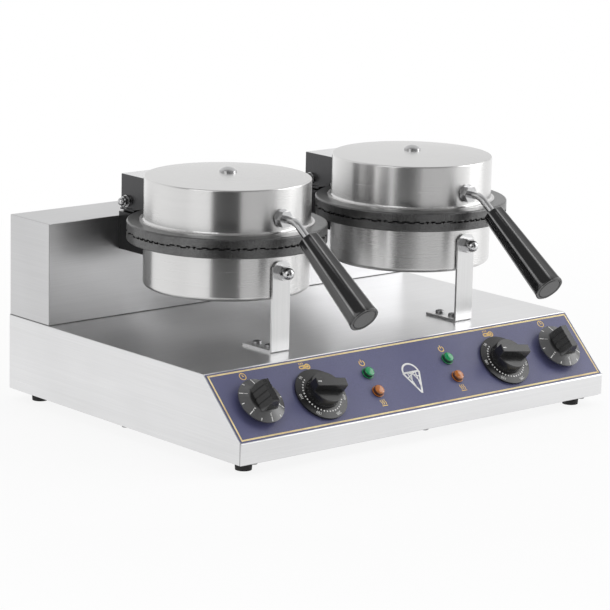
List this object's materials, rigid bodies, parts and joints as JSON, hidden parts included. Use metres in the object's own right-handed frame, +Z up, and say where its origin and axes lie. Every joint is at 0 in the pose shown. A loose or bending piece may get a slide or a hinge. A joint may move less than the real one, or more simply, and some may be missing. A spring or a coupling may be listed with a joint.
{
  "type": "waffle cone maker",
  "caption": "Countertop waffle cone maker with hinged round irons on a steel cabinet, a sloped panel of timer and temperature knobs with lamps, and a rear wiring housing.",
  "frame": {"origin": "on the counter under the middle of the outline, handles included", "axes": "+X to the right, +Y to the back, +Z up, seen from the control panel"},
  "size_m": [0.51, 0.4457, 0.2742],
  "materials": {
    "cabinet_steel": "brushed sheet",
    "drum_steel": "turned and brushed around",
    "bracket_steel": "brushed strap",
    "cast_plate": "cast and machined, seasoned grey",
    "bright_hardware": "polished",
    "screw_steel": "plain",
    "grip_black": "smooth moulded",
    "knob_black": "fine satin moulding",
    "foot_rubber": "matt",
    "overlay_print": "slate blue print with a gold border",
    "lens_green": "translucent green",
    "lens_amber": "translucent amber",
    "lamp_body": "plain",
    "heater_sheath": "heat darkened",
    "mineral_wool": "fibrous pad",
    "terminal_ceramic": "glazed strip"
  },
  "bodies": {
    "base": {"base_shell": "cabinet_steel", "bottom_plate": "cabinet_steel", "bracket_screws": "screw_steel", "cabinet_screws": "screw_steel", "control_nuts": "bright_hardware", "control_overlay": "overlay_print", "cord_bushing": "foot_rubber", "foot_screws": "screw_steel", "front_bracket_bolts": "screw_steel", "front_bracket_nuts": "bright_hardware", "heating_lamp_lenses": "lens_amber", "hinge_nuts": "bright_hardware", "hinge_pins": "bright_hardware", "lamp_barrels": "lamp_body", "lamp_clips": "lamp_body", "left_front_bracket": "bracket_steel", "left_lower_drum": "drum_steel", "left_lower_hinge": "bracket_steel", "left_lower_plate": "cast_plate", "lower_heaters": "heater_sheath", "lower_insulation": "mineral_wool", "lower_plate_bolts": "screw_steel", "power_lamp_lenses": "lens_green", "rear_cover": "cabinet_steel", "rear_housing": "cabinet_steel", "right_front_bracket": "bracket_steel", "right_lower_drum": "drum_steel", "right_lower_hinge": "bracket_steel", "right_lower_plate": "cast_plate", "rubber_feet": "foot_rubber", "terminal_block": "terminal_ceramic", "thermostat_bodies": "lamp_body", "timer_bodies": "lamp_body"},
    "left_lid": {"left_upper_drum": "drum_steel", "left_upper_plate": "cast_plate", "left_upper_heater": "heater_sheath", "left_upper_insulation": "mineral_wool", "left_lid_bracket": "bracket_steel", "left_handle_rod": "bright_hardware", "left_handle_grip": "grip_black", "left_handle_nuts": "bright_hardware", "left_dome_bolt": "bright_hardware"},
    "left_timer_dial": {"left_timer_knob": "knob_black", "left_timer_shaft": "screw_steel"},
    "left_temperature_dial": {"left_temperature_knob": "knob_black", "left_temperature_shaft": "screw_steel"},
    "right_lid": {"right_upper_drum": "drum_steel", "right_upper_plate": "cast_plate", "right_upper_heater": "heater_sheath", "right_upper_insulation": "mineral_wool", "right_lid_bracket": "bracket_steel", "right_handle_rod": "bright_hardware", "right_handle_grip": "grip_black", "right_handle_nuts": "bright_hardware", "right_dome_bolt": "bright_hardware"},
    "right_timer_dial": {"right_timer_knob": "knob_black", "right_timer_shaft": "screw_steel"},
    "right_temperature_dial": {"right_temperature_knob": "knob_black", "right_temperature_shaft": "screw_steel"}
  },
  "joints": [
    {"name": "left_lid_hinge", "type": "hinge", "parent": "base", "child": "left_lid", "pos_m": [-0.1295, 0.13902, 0.2202], "axis": [-1, 0, 0], "range_deg": [0, 100]},
    {"name": "right_lid_hinge", "type": "hinge", "parent": "base", "child": "right_lid", "pos_m": [0.1295, 0.13902, 0.2202], "axis": [-1, 0, 0], "range_deg": [0, 100]},
    {"name": "left_timer_turn", "type": "hinge", "parent": "base", "child": "left_timer_dial", "pos_m": [-0.21, -0.1467, 0.06177], "axis": [0, 0.6983, -0.7159], "range_deg": [0, 300]},
    {"name": "left_temperature_turn", "type": "hinge", "parent": "base", "child": "left_temperature_dial", "pos_m": [-0.1295, -0.14827, 0.06023], "axis": [0, 0.6983, -0.7159], "range_deg": [0, 270]},
    {"name": "right_timer_turn", "type": "hinge", "parent": "base", "child": "right_timer_dial", "pos_m": [0.21, -0.1467, 0.06177], "axis": [0, 0.6983, -0.7159], "range_deg": [0, 300]},
    {"name": "right_temperature_turn", "type": "hinge", "parent": "base", "child": "right_temperature_dial", "pos_m": [0.1295, -0.14827, 0.06023], "axis": [0, 0.6983, -0.7159], "range_deg": [0, 270]}
  ]
}
